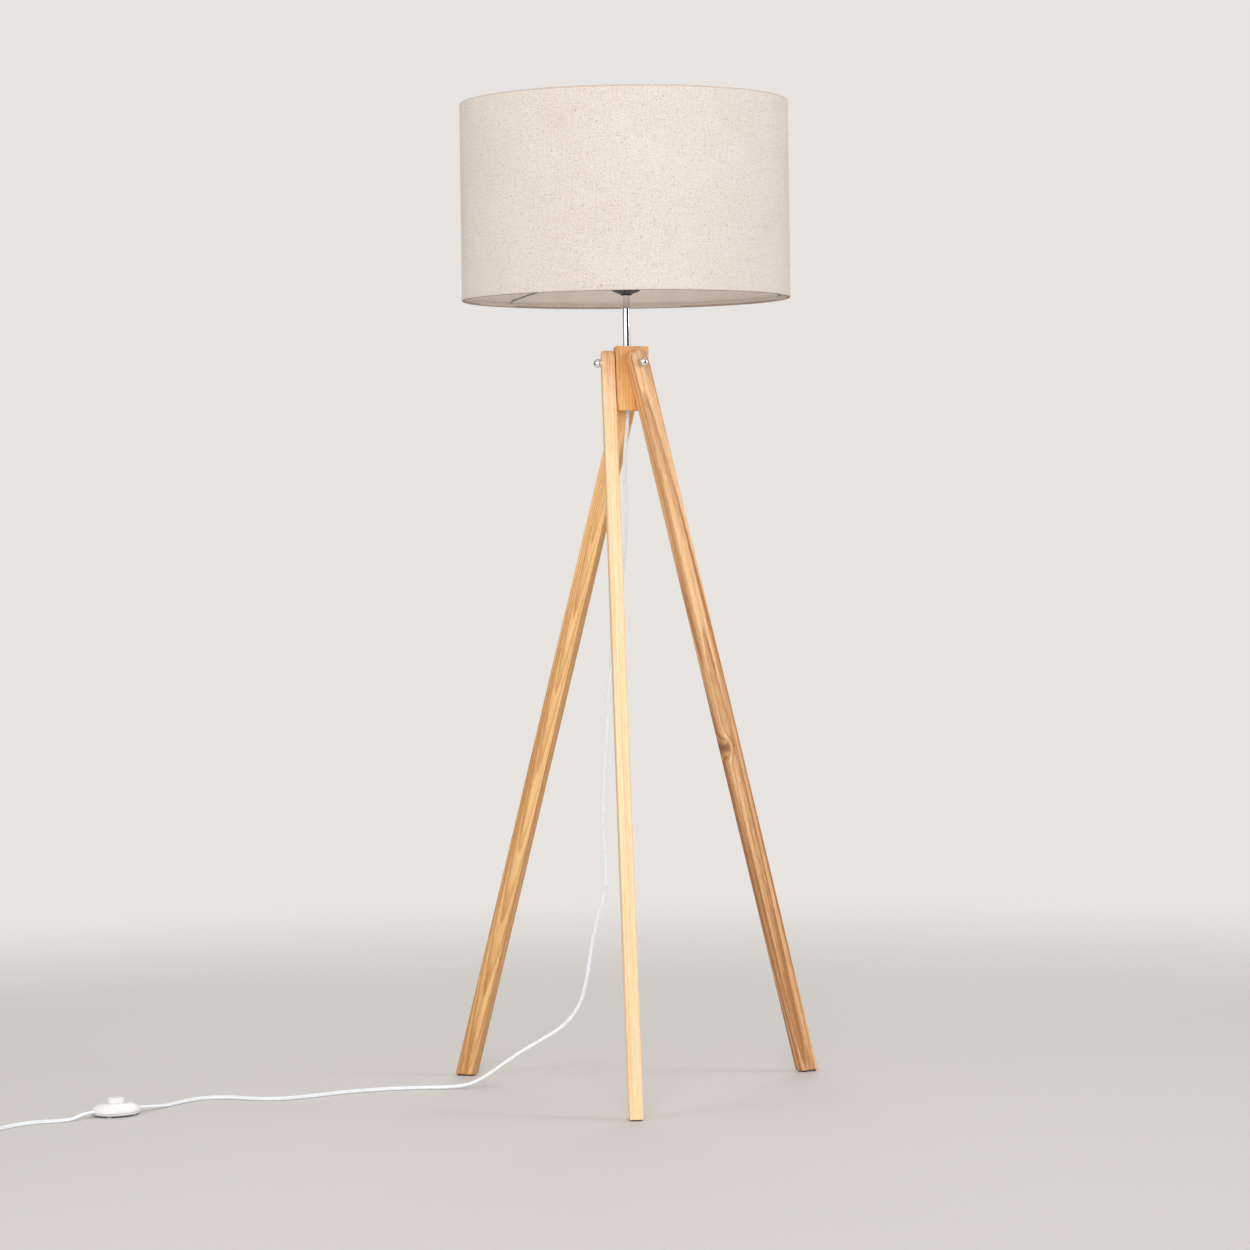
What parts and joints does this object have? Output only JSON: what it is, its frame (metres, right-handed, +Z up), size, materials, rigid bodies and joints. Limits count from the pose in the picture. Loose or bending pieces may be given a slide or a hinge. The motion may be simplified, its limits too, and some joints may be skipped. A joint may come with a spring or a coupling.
{
  "type": "tripod floor lamp",
  "caption": "Wooden tripod floor lamp with splayed flat legs, chrome stem and ball nuts, linen drum shade, corded foot switch and mains plug.",
  "frame": {"origin": "on the floor, on the stem's axis, midway between the three feet", "axes": "+Z up along the stem; the front leg's foot lies on -Y; +X to the right seen from the front"},
  "size_m": [1.1767, 0.5796, 1.35],
  "materials": {
    "leg_wood": "satin",
    "block_wood": "satin",
    "chrome": "polished",
    "zinc": "satin",
    "brass": "satin",
    "fibre": "matt",
    "pad_felt": "matt",
    "shade_linen": "woven",
    "shade_liner": "matt",
    "shade_trim": "woven",
    "wire": "satin",
    "holder_plastic": "gloss",
    "collar_plastic": "gloss",
    "bulb_plastic": "gloss",
    "opal": "satin",
    "nickel": "polished",
    "board": "matt",
    "cord_pvc": "satin",
    "white_plastic": "gloss",
    "spring_steel": "bright",
    "rubber": "matt"
  },
  "bodies": {
    "head": {"head_block": "block_wood", "leg_inserts": "brass", "leg_studs": "zinc", "pivot_washers": "fibre", "stem_nipple": "zinc", "stem_washer": "zinc", "stem_nut": "zinc", "stem_tube": "chrome", "cord_bush": "white_plastic", "flex_inner": "cord_pvc", "holder_cap": "chrome", "holder_grub_screw": "zinc", "holder_sleeve": "chrome", "holder_insert": "holder_plastic", "thread_shell": "brass", "centre_contact": "brass", "terminal_screws": "brass", "cord_upper": "cord_pvc", "cord_lower": "cord_pvc", "cord_coil": "cord_pvc", "cord_tail": "cord_pvc", "switch_base": "white_plastic", "switch_cover": "white_plastic", "switch_mechanism": "holder_plastic", "switch_spring": "spring_steel", "cord_clamps": "white_plastic", "switch_feet": "rubber", "switch_screws": "zinc", "plug_body": "white_plastic", "plug_pins": "nickel", "pin_sleeves": "holder_plastic", "plug_strain_relief": "white_plastic"},
    "front_leg": {"leg_front": "leg_wood", "foot_pad_front": "pad_felt"},
    "right_leg": {"leg_right": "leg_wood", "foot_pad_right": "pad_felt"},
    "left_leg": {"leg_left": "leg_wood", "foot_pad_left": "pad_felt"},
    "front_nut": {"ball_nut_front": "chrome"},
    "right_nut": {"ball_nut_right": "chrome"},
    "left_nut": {"ball_nut_left": "chrome"},
    "shade": {"shade_cloth": "shade_linen", "shade_liner": "shade_liner", "trim_bottom": "shade_trim", "trim_top": "shade_trim", "top_ring": "wire", "carrier_ring": "wire", "carrier_hub": "wire", "carrier_arms": "wire"},
    "collar": {"shade_collar": "collar_plastic"},
    "bulb": {"bulb_cap": "nickel", "bulb_housing": "bulb_plastic", "light_board": "board", "bulb_globe": "opal"},
    "button": {"switch_button": "white_plastic"}
  },
  "joints": [
    {"name": "front_leg_swing", "type": "hinge", "parent": "head", "child": "front_leg", "pos_m": [-0.02618, -0.0025, 0.9935], "axis": [-0.9955, -0.095, 0], "range_deg": [-15.5, 4.5]},
    {"name": "right_leg_swing", "type": "hinge", "parent": "head", "child": "right_leg", "pos_m": [0.01525, -0.02142, 0.9935], "axis": [0.58, -0.8146, 0], "range_deg": [-15.5, 4.5]},
    {"name": "left_leg_swing", "type": "hinge", "parent": "head", "child": "left_leg", "pos_m": [0.01093, 0.02392, 0.9935], "axis": [0.4154, 0.9096, 0], "range_deg": [-15.5, 4.5]},
    {"name": "front_nut_turn", "type": "hinge", "parent": "head", "child": "front_nut", "pos_m": [-0.03514, -0.00335, 0.9935], "axis": [-0.9955, -0.095, 0], "continuous": true},
    {"name": "right_nut_turn", "type": "hinge", "parent": "head", "child": "right_nut", "pos_m": [0.02048, -0.02875, 0.9935], "axis": [0.58, -0.8146, 0], "continuous": true},
    {"name": "left_nut_turn", "type": "hinge", "parent": "head", "child": "left_nut", "pos_m": [0.01466, 0.03211, 0.9935], "axis": [0.4154, 0.9096, 0], "continuous": true},
    {"name": "shade_turn", "type": "hinge", "parent": "head", "child": "shade", "pos_m": [0, 0, 1.128], "axis": [0, 0, 1], "continuous": true},
    {"name": "collar_turn", "type": "hinge", "parent": "head", "child": "collar", "pos_m": [0, 0, 1.1292], "axis": [0, 0, 1], "continuous": true},
    {"name": "bulb_turn", "type": "hinge", "parent": "head", "child": "bulb", "pos_m": [0, 0, 1.1136], "axis": [0, 0, 1], "continuous": true},
    {"name": "button_press", "type": "slide", "parent": "head", "child": "button", "axis": [0, 0, -1], "range_m": [0, 0.003], "stiffness_N_per_m": 400, "springref_m": -0.002, "deforming": ["switch_spring"]}
  ]
}
